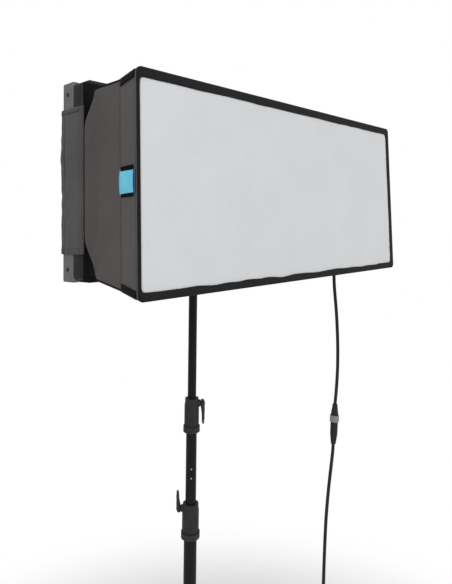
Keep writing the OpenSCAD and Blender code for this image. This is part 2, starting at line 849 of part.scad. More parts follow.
module plug_pins() {
  color([0.8, 0.8, 0.8]) on_plug()
    for (s = [-1, 1]) rod_x(plug_len, plug_len + 19, s * 9.5, 7, 2.4);
}

base_tube();
leg_hub();
leg_hub_pins();
lower_collar();
lower_lever();
mid_tube();
upper_collar();
upper_lever();
riser_tube();
riser_spigot();
leg(0);  // leg_1
leg(1);  // leg_2
leg(2);  // leg_3
foot(0);  // foot_1
foot(1);  // foot_2
foot(2);  // foot_3
brace(0);  // brace_1
brace(1);  // brace_2
brace(2);  // brace_3
spreader_collar();
spreader_knob();
receiver();
receiver_knob();
tilt_bracket();
tilt_bolt();
tilt_lever();
mounting_plate();
plate_screws();
lamp_tray();
front_bezel();
opal_plate();
led_board();
led_strips();
driver_box();
end_cap(-1);  // end_cap_left
end_cap(1);  // end_cap_right
control_panel();
dimmer_knob();
power_switch();
outlet_box();
cable_gland();
panel_top();
panel_bottom();
panel_left();
panel_right();
front_cloth();
rim_rods();
rim_corners();
side_struts();
strut_hinges();
pull_tabs();
end_flaps();
cable_tail();
coupler_body();
coupler_ring();
cable_lead();
cable_coil();
mains_plug();
plug_pins();
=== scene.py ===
# Studio softbox on a light stand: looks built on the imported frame.
# Metres throughout, the front faces -Y and the feet stand at z = 0.
import json
import math

import bmesh
import bpy
from mathutils import Matrix, Vector, noise


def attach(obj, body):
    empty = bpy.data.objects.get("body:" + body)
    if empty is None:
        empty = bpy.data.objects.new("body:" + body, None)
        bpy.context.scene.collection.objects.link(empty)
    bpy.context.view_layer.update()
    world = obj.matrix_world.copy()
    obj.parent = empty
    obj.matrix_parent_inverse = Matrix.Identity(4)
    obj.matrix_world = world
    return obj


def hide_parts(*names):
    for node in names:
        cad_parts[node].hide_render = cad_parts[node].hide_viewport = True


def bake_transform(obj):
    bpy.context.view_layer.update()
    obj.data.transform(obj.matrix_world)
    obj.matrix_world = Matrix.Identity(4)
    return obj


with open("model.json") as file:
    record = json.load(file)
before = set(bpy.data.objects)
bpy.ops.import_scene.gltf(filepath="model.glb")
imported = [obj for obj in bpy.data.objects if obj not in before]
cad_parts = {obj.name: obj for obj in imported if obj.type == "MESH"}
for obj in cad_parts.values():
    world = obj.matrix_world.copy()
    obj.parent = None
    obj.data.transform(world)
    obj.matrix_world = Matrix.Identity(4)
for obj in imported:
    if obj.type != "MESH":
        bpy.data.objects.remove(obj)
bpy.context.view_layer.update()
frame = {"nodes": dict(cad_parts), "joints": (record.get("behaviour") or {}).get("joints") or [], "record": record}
print("frame loaded")

# where the stand's axis and the tilting head are
tiltJoint = next(j for j in frame["joints"] if j["name"] == "head_tilt")
pivot = Vector(tiltJoint["pos_m"])
headTilt = math.radians(2.2)
headPlace = Matrix.Translation((0, pivot.y, pivot.z)) @ Matrix.Rotation(-headTilt, 4, "X")
standPlace = Matrix.Translation((0, pivot.y, 0))


# camera, light and floor

view = {"place": (-0.9329, -0.839, 1.4534), "turn": -47.48, "pitch": 2.58, "roll": 0.52,
        "lens": 34.21, "sensor": 36, "shift": -0.1763}
# power, place and size of each lamp
light = {"sky": 0.46, "aim": (0, 0, 1.2),
         "lamps": {"keyLight": (46, (-2.6, -2.0, 3.1), 1.8),
                   "fillLight": (26, (2.4, -2.8, 2.0), 2.2),
                   "backLight": (14, (0.6, 3.2, 2.6), 2.0)}}
paper = {"colour": (0.86, 0.86, 0.86), "rough": 0.9, "shine": 0.1, "radius": 40, "sides": 96,
         "fadeFrom": 0.6, "fadeTo": 1.5}


def makeCamera():
    data = bpy.data.cameras.new("studioCamera")
    data.lens = view["lens"]
    data.sensor_width = view["sensor"]
    data.shift_y = view["shift"]
    camera = bpy.data.objects.new("studioCamera", data)
    bpy.context.scene.collection.objects.link(camera)
    camera.matrix_world = (
        Matrix.Translation(view["place"])
        @ Matrix.Rotation(math.radians(view["turn"]), 4, "Z")
        @ Matrix.Rotation(math.radians(90 + view["pitch"]), 4, "X")
        @ Matrix.Rotation(math.radians(view["roll"]), 4, "Z")
    )
    bpy.context.scene.camera = camera


def addNode(tree, kind, sockets=None, **settings):
    made = tree.nodes.new("ShaderNode" + kind)
    for key, value in settings.items():
        setattr(made, key, value)
    for key, value in (sockets or {}).items():
        if isinstance(value, bpy.types.NodeSocket):
            tree.links.new(value, made.inputs[key])
        else:
            made.inputs[key].default_value = value
    return made


def makeLight():
    world = bpy.data.worlds.new("studioSky")
    bpy.context.scene.world = world
    world.use_nodes = True
    tree = world.node_tree
    seen = addNode(tree, "LightPath").outputs["Is Camera Ray"]
    strength = addNode(tree, "MapRange", {"Value": seen, "To Min": light["sky"], "To Max": 1.0})
    backdrop = tree.nodes["Background"]
    backdrop.inputs["Color"].default_value = (1, 1, 1, 1)
    tree.links.new(strength.outputs["Result"], backdrop.inputs["Strength"])
    for name, (power, place, size) in light["lamps"].items():
        data = bpy.data.lights.new(name, "AREA")
        data.energy = power
        data.size = size
        lamp = bpy.data.objects.new(name, data)
        lamp.location = place
        toward = Vector(light["aim"]) - Vector(place)
        lamp.rotation_euler = toward.to_track_quat("-Z", "Y").to_euler()
        bpy.context.scene.collection.objects.link(lamp)
    bpy.context.scene.view_settings.view_transform = "Standard"


def makeFloor():
    bm = bmesh.new()
    bmesh.ops.create_circle(bm, cap_ends=True, segments=paper["sides"], radius=paper["radius"])
    mesh = bpy.data.meshes.new("studioFloor")
    bm.to_mesh(mesh)
    bm.free()
    floor = bpy.data.objects.new("studioFloor", mesh)
    bpy.context.scene.collection.objects.link(floor)
    made = bpy.data.materials.new("palePaper")
    made.use_nodes = True
    tree = made.node_tree
    shader = tree.nodes["Principled BSDF"]
    shader.inputs["Base Color"].default_value = (*paper["colour"], 1)
    shader.inputs["Roughness"].default_value = paper["rough"]
    shader.inputs["Specular IOR Level"].default_value = paper["shine"]
    # far from the object the paper runs out into the white of the sky
    spot = addNode(tree, "TexCoord").outputs["Object"]
    away = addNode(tree, "VectorMath", {0: spot}, operation="LENGTH").outputs["Value"]
    fade = addNode(tree, "MapRange", {"Value": away, "From Min": paper["fadeFrom"],
                                      "From Max": paper["fadeTo"], "To Max": 1.0},
                   interpolation_type="SMOOTHERSTEP")
    seen = addNode(tree, "LightPath").outputs["Is Camera Ray"]
    share = addNode(tree, "Math", {0: fade.outputs["Result"], 1: seen}, operation="MULTIPLY")
    bright = addNode(tree, "Emission", {"Color": (1, 1, 1, 1), "Strength": 1.0})
    mix = addNode(tree, "MixShader", {0: share.outputs["Value"], 1: shader.outputs["BSDF"],
                                      2: bright.outputs["Emission"]})
    tree.links.new(mix.outputs["Shader"], tree.nodes["Material Output"].inputs["Surface"])
    mesh.materials.append(made)


makeCamera()
makeLight()
makeFloor()
print("camera, light and floor made")


# finishes

def startFinish(name, shine):
    made = bpy.data.materials.new(name)
    made.use_nodes = True
    tree = made.node_tree
    shader = tree.nodes["Principled BSDF"]
    for key, value in shine.items():
        shader.inputs[key].default_value = value
    return made, tree, shader


def noiseOf(tree, spot, scale, detail=3.0, rough=0.55):
    return addNode(tree, "TexNoise", {"Vector": spot, "Scale": scale, "Detail": detail,
                                      "Roughness": rough}).outputs["Fac"]


def tintOf(tree, value, dark, bright, low=0.3, high=0.7):
    ramp = addNode(tree, "ValToRGB", {"Fac": value})
    ramp.color_ramp.elements[0].position = low
    ramp.color_ramp.elements[0].color = (*dark, 1)
    ramp.color_ramp.elements[1].position = high
    ramp.color_ramp.elements[1].color = (*bright, 1)
    return ramp.outputs["Color"]


def bumpOf(tree, height, depth, under=None):
    sockets = {"Height": height, "Distance": depth, "Strength": 1.0}
    if under is not None:
        sockets["Normal"] = under
    return addNode(tree, "Bump", sockets).outputs["Normal"]


def spotOf(tree, source, stretch=(1, 1, 1), turn=0.0):
    spot = addNode(tree, "TexCoord").outputs[source]
    return addNode(tree, "Mapping", {"Vector": spot, "Scale": stretch,
                                     "Rotation": (0, 0, turn)}).outputs["Vector"]


# a wave texture of this scale has its bands a metre apart
bandScale = 0.314


# paint, moulded plastic, rubber and metal: cloudy colour, worn gloss and a fine grain
def hardFinish(name, dark, bright, rough, grain, depth, cloud=14.0, metal=0.0, specular=0.5,
               stretch=(1, 1, 1)):
    made, tree, shader = startFinish(name, {"Metallic": metal, "Specular IOR Level": specular})
    spot = spotOf(tree, "Object", stretch)
    clouds = noiseOf(tree, spot, cloud, 4.0)
    tree.links.new(tintOf(tree, clouds, dark, bright), shader.inputs["Base Color"])
    smears = noiseOf(tree, spot, cloud * 2.7, 5.0, 0.65)
    gloss = addNode(tree, "MapRange", {"Value": smears, "From Min": 0.3, "From Max": 0.7,
                                       "To Min": rough * 0.85, "To Max": min(1.0, rough * 1.2)})
    tree.links.new(gloss.outputs["Result"], shader.inputs["Roughness"])
    fine = noiseOf(tree, spot, grain, 2.0)
    tree.links.new(bumpOf(tree, fine, depth), shader.inputs["Normal"])
    return made


# woven cloth on the piece's own flat pattern, in metres: threads over and under, and soft creases
def clothFinish(name, dark, bright, rough, pitch, weave, crease, sheen=0.2, specular=0.3,
                creaseScale=30.0):
    made, tree, shader = startFinish(name, {"Roughness": rough, "Sheen Weight": sheen,
                                            "Sheen Roughness": 0.6, "Specular IOR Level": specular})
    flat = spotOf(tree, "UV")
    waves = [addNode(tree, "TexWave", {"Vector": flat, "Scale": bandScale / pitch, "Distortion": 0.4,
                                       "Detail": 1.0, "Detail Scale": 2.0},
                     wave_type="BANDS", bands_direction=side).outputs["Fac"] for side in ("X", "Y")]
    cells = addNode(tree, "TexChecker", {"Vector": flat, "Scale": 1 / pitch}).outputs["Fac"]
    over = addNode(tree, "Mix", {0: cells, 2: waves[0], 3: waves[1]}, data_type="FLOAT").outputs[0]
    clouds = noiseOf(tree, flat, 9.0, 4.0)
    yarn = noiseOf(tree, spotOf(tree, "UV", (60, 900, 1)), 1.0, 2.0)
    both = addNode(tree, "Math", {0: clouds, 1: yarn}, operation="ADD").outputs["Value"]
    half = addNode(tree, "Math", {0: both, 1: 0.5}, operation="MULTIPLY").outputs["Value"]
    tree.links.new(tintOf(tree, half, dark, bright, 0.35, 0.65), shader.inputs["Base Color"])
    folds = noiseOf(tree, spotOf(tree, "UV", (1, 0.55, 1), 0.5), creaseScale, 2.5, 0.5)
    normal = bumpOf(tree, folds, crease)
    normal = bumpOf(tree, over, weave, normal)
    tree.links.new(normal, shader.inputs["Normal"])
    return made


# ribbed tape: cords across its width and a fine thread along it
def tapeFinish(name, dark, bright, rough, rib, depth, sheen=0.25, specular=0.3, along="X"):
    made, tree, shader = startFinish(name, {"Roughness": rough, "Sheen Weight": sheen,
                                            "Specular IOR Level": specular})
    flat = spotOf(tree, "UV")
    ribs = addNode(tree, "TexWave", {"Vector": flat, "Scale": bandScale / rib, "Distortion": 0.8,
                                     "Detail": 1.0, "Detail Scale": 1.5},
                   wave_type="BANDS", bands_direction=along).outputs["Fac"]
    clouds = noiseOf(tree, flat, 45.0, 4.0)
    tree.links.new(tintOf(tree, clouds, dark, bright), shader.inputs["Base Color"])
    fuzz = noiseOf(tree, flat, 1400.0, 2.0)
    normal = bumpOf(tree, fuzz, depth * 0.4)
    normal = bumpOf(tree, ribs, depth, normal)
    tree.links.new(normal, shader.inputs["Normal"])
    return made


finishes = {
    "black_tube": hardFinish("blackPowderCoat", (0.0035, 0.0035, 0.0036), (0.0065, 0.0065, 0.0068), 0.42,
                             1500, 0.00006, specular=0.25),
    "dark_casting": hardFinish("darkMouldedNylon", (0.022, 0.022, 0.023), (0.034, 0.034, 0.035), 0.55, 2200,
                               0.00012, specular=0.35),
    "black_plastic": hardFinish("blackMouldedPlastic", (0.011, 0.011, 0.012), (0.019, 0.019, 0.02), 0.5, 2600,
                                0.0001, specular=0.35),
    "zinc_steel": hardFinish("zincPlate", (0.42, 0.43, 0.44), (0.6, 0.6, 0.58), 0.34, 900, 0.00005, 70,
                             metal=1.0),
    "black_steel": hardFinish("blackSteelPlate", (0.012, 0.012, 0.012), (0.024, 0.024, 0.025), 0.45, 1100,
                              0.00008, specular=0.35),
    "rubber": hardFinish("blackRubber", (0.01, 0.01, 0.01), (0.02, 0.02, 0.019), 0.78, 1800, 0.00012,
                         specular=0.25),
    "bright_steel": hardFinish("turnedSteel", (0.5, 0.5, 0.5), (0.68, 0.68, 0.66), 0.24, 40, 0.00006, 40,
                               metal=1.0, stretch=(1, 1, 30)),
    "dark_aluminium": hardFinish("darkAnodised", (0.022, 0.0222, 0.023), (0.034, 0.0343, 0.036), 0.42, 60,
                                 0.00006, 30, metal=0.75, stretch=(0.3, 12, 12)),
    # light grey, partly painted light where the end caps catch it
    "grey_plastic": hardFinish("greyMouldedPlastic", (0.135, 0.135, 0.137), (0.18, 0.18, 0.182), 0.5, 2400,
                               0.00012, specular=0.4),
    "opal": hardFinish("opalAcrylic", (0.86, 0.86, 0.85), (0.9, 0.9, 0.89), 0.3, 500, 0.00003, 8),
    "white_board": hardFinish("whiteBoard", (0.8, 0.8, 0.77), (0.87, 0.87, 0.84), 0.4, 300, 0.00004, 60),
    "phosphor": hardFinish("yellowPhosphor", (0.85, 0.66, 0.16), (0.95, 0.82, 0.32), 0.45, 700, 0.0001, 260),
    "bag_fabric": clothFinish("coatedNylon", (0.063, 0.056, 0.053), (0.084, 0.075, 0.071), 0.62, 0.0011,
                              0.00012, 0.0011, sheen=0.12),
    "diffuser_cloth": clothFinish("diffusionCloth", (0.76, 0.775, 0.79), (0.82, 0.83, 0.84), 0.8, 0.0008,
                                  0.00006, 0.0007, sheen=0.1, creaseScale=12.0),
    "blue_webbing": tapeFinish("blueWebbing", (0.12, 0.66, 0.98), (0.17, 0.74, 1.0), 0.34, 0.0016, 0.00014,
                               sheen=0.1, specular=0.6, along="Y"),
    "lead_jacket": hardFinish("leadJacket", (0.011, 0.011, 0.0115), (0.019, 0.019, 0.0195), 0.5, 1300,
                              0.00008, 40, specular=0.35),
    "grey_ring": hardFinish("greyRing", (0.24, 0.24, 0.24), (0.32, 0.32, 0.32), 0.5, 2000, 0.0001),
    "brass": hardFinish("nickelPlatedBrass", (0.62, 0.6, 0.52), (0.78, 0.76, 0.68), 0.25, 300, 0.00003, 60,
                        metal=1.0),
}
bandFabric = clothFinish("bandFabric", (0.066, 0.0595, 0.0565), (0.088, 0.079, 0.075), 0.6, 0.0011, 0.00012,
                         0.0005, sheen=0.12)
# near-black border, partly painted shade on the front-facing trim
shadedBorderTape = clothFinish("shadedBorderTape", (0.0105, 0.011, 0.0122), (0.0155, 0.016, 0.0175), 0.75, 0.0013,
                         0.00016, 0.0004, sheen=0.03, specular=0.14)
# near-black binding, partly painted shade on its front-facing edge
shadedBindingTape = tapeFinish("shadedBindingTape", (0.0085, 0.008, 0.0082), (0.0145, 0.0138, 0.014), 0.7, 0.0014,
                         0.00014, sheen=0.03, specular=0.14)
blackTape = tapeFinish("blackTape", (0.004, 0.0038, 0.004), (0.008, 0.0078, 0.008), 0.75, 0.0016, 0.00016,
                       sheen=0.02, specular=0.12)
# piping paler than the cloth: partly a painted highlight along the cord
pipingHighlightTape = tapeFinish("pipingHighlightTape", (0.075, 0.072, 0.069), (0.105, 0.1, 0.096), 0.6, 0.0012, 0.0001)
flapCloth = clothFinish("flapCloth", (0.062, 0.058, 0.057), (0.082, 0.077, 0.076), 0.62, 0.0011, 0.00012,
                        0.0012, sheen=0.12, creaseScale=38.0)
hemCloth = clothFinish("hemCloth", (0.034, 0.032, 0.031), (0.05, 0.047, 0.046), 0.65, 0.0011, 0.00012, 0.0006)
# navy plate under the pull tabs: painted shade on the loop's front edge
shadeNavyWebbing = tapeFinish("shadeNavyWebbing", (0.002, 0.035, 0.11), (0.004, 0.05, 0.15), 0.6, 0.0016, 0.0002)
darkStitch = hardFinish("darkThread", (0.02, 0.02, 0.02), (0.05, 0.05, 0.05), 0.7, 3000, 0.0001)
paleStitch = hardFinish("paleThread", (0.12, 0.12, 0.12), (0.2, 0.2, 0.2), 0.7, 3000, 0.0001)

slots = {row["node"]: row["material_slot"] for row in frame["record"]["subparts"]}
for name, part in frame["nodes"].items():
    part.data.materials.clear()
    part.data.materials.append(finishes[slots[name]])
print("finishes made")


# shared shaping

sharpEdge = math.radians(40)


def finishPiece(name, bm, material, body, place=None, blend=None, replaces=()):
    if place is not None:
        bm.transform(place)
    bm.normal_update()
    mesh = bpy.data.meshes.new(name)
    bm.to_mesh(mesh)
    bm.free()
    mesh.materials.append(material)
    for face in mesh.polygons:
        face.use_smooth = True
    mesh.set_sharp_from_angle(angle=sharpEdge)
    piece = bpy.data.objects.new(name, mesh)
    bpy.context.scene.collection.objects.link(piece)
    if blend:
        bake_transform(piece)
    else:
        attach(piece, body)
    if replaces:
        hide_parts(*replaces)
    return piece


# a piece in its slot's own finish
def addSolid(name, bm, slot, body="head", place=headPlace, replaces=()):
    return finishPiece(name, bm, finishes[slot], body, place, replaces=replaces)


def addBox(bm, low, high, soft, segments):
    low, high = Vector(low), Vector(high)
    made = bmesh.ops.create_cube(bm, size=1, matrix=Matrix.Translation((low + high) / 2)
                                 @ Matrix.Diagonal((*(high - low), 1)))
    edges = list({e for v in made["verts"] for e in v.link_edges})
    bmesh.ops.bevel(bm, geom=edges, offset=soft, segments=segments, profile=0.5, affect="EDGES",
                    material=-1, clamp_overlap=True)


def addRod(bm, start, end, radius, sides, soft):
    start, end = Vector(start), Vector(end)
    turn = (end - start).to_track_quat("Z", "Y").to_matrix().to_4x4()
    made = bmesh.ops.create_cone(bm, cap_ends=True, segments=sides, radius1=radius, radius2=radius,
                                 depth=(end - start).length,
                                 matrix=Matrix.Translation((start + end) / 2) @ turn)
    rims = [e for e in {e for v in made["verts"] for e in v.link_edges}
            if any(len(f.verts) > 4 for f in e.link_faces)]
    bmesh.ops.bevel(bm, geom=rims, offset=soft, segments=2, profile=0.5, affect="EDGES", material=-1,
                    clamp_overlap=True)


# a turned shape: radius and height pairs spun round Z, then put in place
def addTurned(bm, outline, place, sides):
    verts = [bm.verts.new((r, 0, z)) for r, z in outline]
    edges = [bm.edges.new(pair) for pair in zip(verts, verts[1:])]
    made = bmesh.ops.spin(bm, geom=verts + edges, cent=(0, 0, 0), axis=(0, 0, 1), angle=math.tau,
                          steps=sides, use_merge=True)
    last = {v for v in made["geom_last"] if isinstance(v, bmesh.types.BMVert)}
    reached, queue = set(), list(last | {v for v in verts if v.is_valid})
    while queue:
        v = queue.pop()
        if v in reached:
            continue
        reached.add(v)
        queue += [e.other_vert(v) for e in v.link_edges]
    bmesh.ops.remove_doubles(bm, verts=list(reached), dist=1e-6)
    reached = [v for v in reached if v.is_valid]
    faces = list({f for v in reached for f in v.link_faces})
    bmesh.ops.recalc_face_normals(bm, faces=faces)
    bmesh.ops.transform(bm, matrix=place, verts=reached)


# lay a piece's flat pattern out in metres, from each corner's place
def layFlat(bm, spotOn):
    flat = bm.loops.layers.uv.new("cloth")
    for face in bm.faces:
        for loop in face.loops:
            loop[flat].uv = spotOn(loop.vert.co)


# turn every face over if they look inward on the whole
def faceOutward(bm, outward):
    bm.normal_update()
    if sum(outward(face) for face in bm.faces) < 0:
        bmesh.ops.reverse_faces(bm, faces=bm.faces)


# put one bmesh's faces into another and free it
def joinInto(bm, part):
    shared = bpy.data.meshes.new("part")
    part.to_mesh(shared)
    part.free()
    bm.from_mesh(shared)
    bpy.data.meshes.remove(shared)


# an even line through the points
def smoothLine(points, step):
    points = [Vector(p) for p in points]
    held = [points[0] * 2 - points[1]] + points + [points[-1] * 2 - points[-2]]
    fine, parts = [], 10
    for a, b, c, d in zip(held, held[1:], held[2:], held[3:]):
        for k in range(parts):
            t = k / parts
            fine.append(0.5 * (2 * b + (c - a) * t + (2 * a - 5 * b + 4 * c - d) * t * t
                               + (3 * b - a - 3 * c + d) * t ** 3))
    fine.append(points[-1])
    return evenLine(fine, step)


def evenLine(fine, step):
    runs = [0.0]
    for p, q in zip(fine, fine[1:]):
        runs.append(runs[-1] + (q - p).length)
    count = max(2, round(runs[-1] / step))
    line, k = [], 0
    for i in range(count + 1):
        at = runs[-1] * i / count
        while k < len(fine) - 2 and runs[k + 1] < at:
            k += 1
        line.append(fine[k].lerp(fine[k + 1], (at - runs[k]) / max(runs[k + 1] - runs[k], 1e-9)))
    return line


# a round cord along a line, as a bmesh
def tubeAlong(line, radius, closed=False, resolution=3):
    curve = bpy.data.curves.new("line", "CURVE")
    curve.dimensions = "3D"
    spline = curve.splines.new("POLY")
    spline.points.add(len(line) - 1)
    for point, spot in zip(spline.points, line):
        point.co = (*spot, 1)
    spline.use_cyclic_u = closed
    curve.bevel_depth = radius
    curve.bevel_resolution = resolution
    curve.use_fill_caps = not closed
    holder = bpy.data.objects.new("line", curve)
    bpy.context.scene.collection.objects.link(holder)
    bpy.context.view_layer.update()
    found = holder.evaluated_get(bpy.context.evaluated_depsgraph_get())
    mesh = bpy.data.meshes.new_from_object(found)
    bm = bmesh.new()
    bm.from_mesh(mesh)
    bpy.data.objects.remove(holder)
    bpy.data.curves.remove(curve)
    bpy.data.meshes.remove(mesh)
    bmesh.ops.remove_doubles(bm, verts=bm.verts, dist=1e-7)
    bmesh.ops.recalc_face_normals(bm, faces=bm.faces)
    return bm


# a row of stitches along a line that lies on a surface, each a copy of one small bead
def addStitches(bm, line, pitch, length, thick):
    bead = bmesh.new()
    bmesh.ops.create_uvsphere(bead, u_segments=6, v_segments=4, radius=1,
                              matrix=Matrix.Diagonal((length / 2, thick, thick, 1)))
    shared = bpy.data.meshes.new("bead")
    bead.to_mesh(shared)
    bead.free()
    spots = evenLine([Vector(p) for p in line], pitch)
    for p, q in zip(spots, spots[1:]):
        copy = shared.copy()
        turn = (q - p).to_track_quat("X", "Z").to_matrix().to_4x4()
        copy.transform(Matrix.Translation(p.lerp(q, 0.5)) @ turn)
        bm.from_mesh(copy)
        bpy.data.meshes.remove(copy)
    bpy.data.meshes.remove(shared)


# mains lead

lead = {
    "radius": 0.0045, "tailStep": 0.008, "step": 0.0065,
    "tail": [(0.413, -0.1343, 1.290), (0.413, -0.1345, 1.280), (0.414, -0.135, 1.255),
             (0.416, -0.1365, 1.225), (0.419, -0.138, 1.190), (0.422, -0.139, 1.145),
             (0.424, -0.1395, 1.100), (0.425, -0.139, 1.050), (0.425, -0.1375, 1.010),
             (0.424, -0.135, 0.970), (0.4225, -0.132, 0.933)],
    "drop": [(0.413, -0.132, 0.827), (0.411, -0.1315, 0.805), (0.407, -0.130, 0.775),
             (0.403, -0.127, 0.735), (0.399, -0.124, 0.690), (0.396, -0.121, 0.640),
             (0.394, -0.119, 0.590), (0.392, -0.117, 0.520), (0.390, -0.115, 0.430),
             (0.388, -0.113, 0.340), (0.386, -0.112, 0.250), (0.384, -0.111, 0.170),
             (0.381, -0.111, 0.110), (0.375, -0.112, 0.065), (0.363, -0.115, 0.032),
             (0.346, -0.121, 0.012), (0.324, -0.130, 0.0045), (0.304, -0.145, 0.0045),
             (0.288, -0.163, 0.0045), (0.268, -0.179, 0.0045)],
    "end": [(0.296, -0.145, 0.0135), (0.2945, -0.162, 0.0142), (0.291, -0.182, 0.011),
            (0.284, -0.204, 0.007)],
    # the tail's held top and end, then the bodies and heights between which the runs are cut; each piece stays
    # fixed where it is made, bound to no body
    "tailHeld": 0.01, "tailEnd": 0.945,
    "bodies": ["receiver", "riser", "mid", "root"], "heights": [0.815, 0.60, 0.20, 0.02],
}
# the coil's radius and height at its start, then the turns over which each changes and its new value
coil = {
    "at": (0.240, -0.130), "turns": 5.75, "perTurn": 24,
    "radius": (0.0565, [(0, 0.25, 0.0475), (3.55, 3.8, 0.0565)]),
    "height": (0.0045, [(0.8, 1.0, 0.0135), (1.8, 2.0, 0.0225), (2.8, 3.0, 0.0315),
                        (4.35, 4.55, 0.0225), (5.1, 5.35, 0.0135)]),
}


def easeOf(t):
    t = min(1, max(0, t))
    return t * t * (3 - 2 * t)


# eased steps: value held at each level, moved over the turns given
def steps(s, start, moves):
    value = start
    for begin, end, goal in moves:
        value += (goal - value) * easeOf((s - begin) / (end - begin))
    return value


def coilPoints():
    points = []
    for k in range(int(coil["turns"] * coil["perTurn"]) + 1):
        turns = k / coil["perTurn"]
        radius, height = steps(turns, *coil["radius"]), steps(turns, *coil["height"])
        angle = -math.pi / 2 - turns * math.tau
        points.append((coil["at"][0] + radius * math.cos(angle),
                       coil["at"][1] + radius * math.sin(angle), height))
    return points


def makeLead():
    jacket = finishes["lead_jacket"]
    tailLine = [standPlace @ p for p in smoothLine(lead["tail"], lead["tailStep"])]
    whole = [standPlace @ p for p in smoothLine(lead["drop"] + coilPoints() + lead["end"], lead["step"])]
    heights, bodies = lead["heights"], lead["bodies"]
    cuts = [next(i for i, p in enumerate(whole) if p.z < height) for height in heights[1:3]]
    lines = [whole[:cuts[0] + 1], whole[cuts[0]:cuts[1] + 1], whole[cuts[1]:]]
    spans = zip(bodies, bodies[1:], heights, heights[1:])
    replaced = [(), (), ("cable_lead", "cable_coil")]
    top = tailLine[0]
    tail = finishPiece("leadTail", tubeAlong(tailLine, lead["radius"]), jacket, None,
                       blend=("head", "receiver", (top.x, top.y, top.z - lead["tailHeld"]),
                              (top.x, top.y, lead["tailEnd"])),
                       replaces=("cable_tail",))
    made = []
    for k, (line, (a, b, high, low)) in enumerate(zip(lines, spans)):
        at = line[0]
        piece = finishPiece(f"leadRun{k + 1}", tubeAlong(line, lead["radius"]), jacket, None,
                            blend=(a, b, (at.x, at.y, high), (at.x, at.y, low)),
                            replaces=replaced[k])
        made.append((piece, line))
    return made


plug = {"turn": -105, "sides": 28, "ribs": 7, "ribStep": 0.0045,
        "grip": [(0.028, -0.0135, -0.006), (0.052, 0.0135, 0.0205)], "soft": 0.005,
        "ridges": 4, "ridgeStep": 0.0042, "ridgeOut": 0.0138}


def makePlug():
    place = (standPlace @ Matrix.Translation(lead["end"][-1])
             @ Matrix.Rotation(math.radians(plug["turn"]), 4, "Z"))
    bm = bmesh.new()
    # ribbed relief, then the moulded grip
    outline = [(0.0, -0.004), (0.0056, -0.004)]
    for k in range(plug["ribs"]):
        z, crest, groove = -0.002 + k * plug["ribStep"], 0.0058 + k * 0.0003, 0.0050 + k * 0.0002
        outline += [(crest, z), (crest, z + 0.0028), (groove, z + 0.0032), (groove, z + 0.0042)]
    outline += [(0.0, 0.0305)]
    addTurned(bm, outline, Matrix.Rotation(math.radians(90), 4, "Y"), plug["sides"])
    addBox(bm, *plug["grip"], plug["soft"], 4)
    for side in (-1, 1):
        for k in range(plug["ridges"]):
            x, y = 0.032 + k * plug["ridgeStep"], side * plug["ridgeOut"]
            addBox(bm, (x, y - 0.0008, 0.0), (x + 0.0025, y + 0.0004, 0.0145), 0.0004, 1)
    return addSolid("mainsPlug", bm, "black_plastic", "root", place, ("mains_plug",))


leadPieces = makeLead()
mainsPlug = makePlug()
print("mains lead made")


# fabric softbox

# depth, half width, half height and droop where the wall changes, then its corner radius
bag = {"rear": (-0.1343, 0.391, 0.160, 0.005), "rim": (-0.244, 0.400, 0.1675, 0.015),
       "front": (-0.304, 0.410, 0.1775, 0.017), "corner": 0.003, "cornerGrowth": 0.004}
columns = (144, 64)


# depth, half width, half height, droop, shift and corner radius of the softbox at a depth
def wallAt(y, out=0.0):
    first, second = (bag["rear"], bag["rim"]) if y > bag["rim"][0] else (bag["rim"], bag["front"])
    t = (y - first[0]) / (second[0] - first[0])
    wide, high, drop = (a + (b - a) * t for a, b in zip(first[1:], second[1:]))
    corner = bag["corner"] + bag["cornerGrowth"] * max(0.0, (bag["rim"][0] - y) / 0.06)
    return y, wide + out, high + out, drop, 0.0, corner


# the point a share of the way round a rounded rectangle, clockwise from the top left
def rectangleSpot(i, wide, high, corner):
    counts = [columns[0], columns[1], columns[0], columns[1]]
    side = 0
    while side < 3 and i >= counts[side]:
        i -= counts[side]
        side += 1
    t = i / counts[side]
    corners = [(-wide, high), (wide, high), (wide, -high), (-wide, -high), (-wide, high)]
    (x0, z0), (x1, z1) = corners[side], corners[side + 1]
    x, z = x0 + (x1 - x0) * t, z0 + (z1 - z0) * t
    nearX, nearZ = corner - (wide - abs(x)), corner - (high - abs(z))
    if nearX > 0 and nearZ > 0:
        share = corner / math.hypot(nearX, nearZ)
        x = math.copysign(wide - corner + nearX * share, x)
        z = math.copysign(high - corner + nearZ * share, z)
    return x, z, side, t


# a sheet rolled round the softbox, one ring of points for each wallAt row
def rolledSheet(rings, shape=None):
    count = 2 * sum(columns)
    rows = len(rings) - 1
    bm = bmesh.new()
    bmesh.ops.create_grid(bm, x_segments=count, y_segments=rows, size=0.5)
    around = 4 * (rings[-1][1] + rings[-1][2])
    lengths = [0.0]
    for a, b in zip(rings, rings[1:]):
        lengths.append(lengths[-1] + math.dist(a[:3], b[:3]))
    layFlat(bm, lambda co: ((co.x + 0.5) * around, lengths[round((co.y + 0.5) * rows)]))
    for vert in bm.verts:
        i = round((vert.co.x + 0.5) * count)
        row = round((vert.co.y + 0.5) * rows)
        y, wide, high, drop, shift, corner = rings[row]
        x, z, side, t = rectangleSpot(i % count, wide, high, corner)
        spot = Vector((x + shift, y, z - drop))
        vert.co = spot + shape(spot, side, t, row / rows) if shape else spot
    bmesh.ops.remove_doubles(bm, verts=bm.verts, dist=1e-6)
    faceOutward(bm, lambda f: f.normal.dot(f.calc_center_median() * Vector((1, 0, 1))) * f.calc_area())
    return bm


